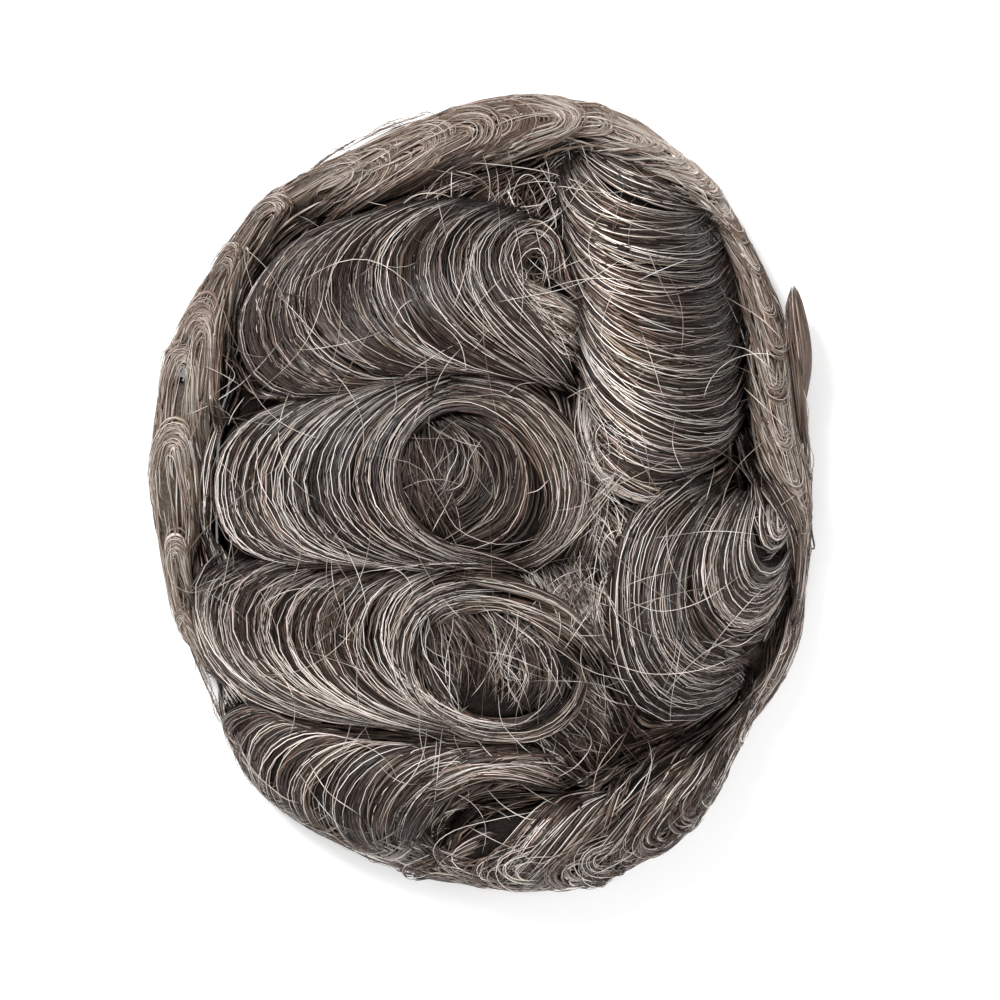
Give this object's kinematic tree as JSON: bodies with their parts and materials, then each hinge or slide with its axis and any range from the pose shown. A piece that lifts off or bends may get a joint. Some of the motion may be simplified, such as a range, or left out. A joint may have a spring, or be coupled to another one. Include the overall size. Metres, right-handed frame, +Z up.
{
  "type": "toupee hairpiece",
  "caption": "Short wavy hairpiece for the top of the head: a thin domed base that is open below, an under layer of hair on it, and swirled and rolled locks set over the crown and the rim",
  "frame": {"origin": "centre of the footprint, on the plane that the rim stands on", "axes": "+Z up, +Y to the back of the head, -Y the front hairline, +X to the right as seen from above with the back of the head at the top"},
  "size_m": [0.1908, 0.2292, 0.0712],
  "materials": {
    "hair": "dark brown hair with about a third grey and white strands, soft gloss",
    "under_hair": "short dark brown hair, matt",
    "base": "thin skin-coloured film, matt"
  },
  "bodies": {
    "root": {"base_cap": "base", "under_layer": "under_hair", "crown_curl": "hair", "middle_curl": "hair", "lower_curl": "hair", "right_roll": "hair", "right_curl": "hair", "right_inner_curl": "hair", "front_left_wave": "hair", "front_roll": "hair", "front_right_rim": "hair", "right_front_rim": "hair", "right_rim": "hair", "back_right_rim": "hair", "back_rim": "hair", "back_left_rim": "hair", "left_rim": "hair", "right_tuft": "hair"}
  },
  "joints": []
}
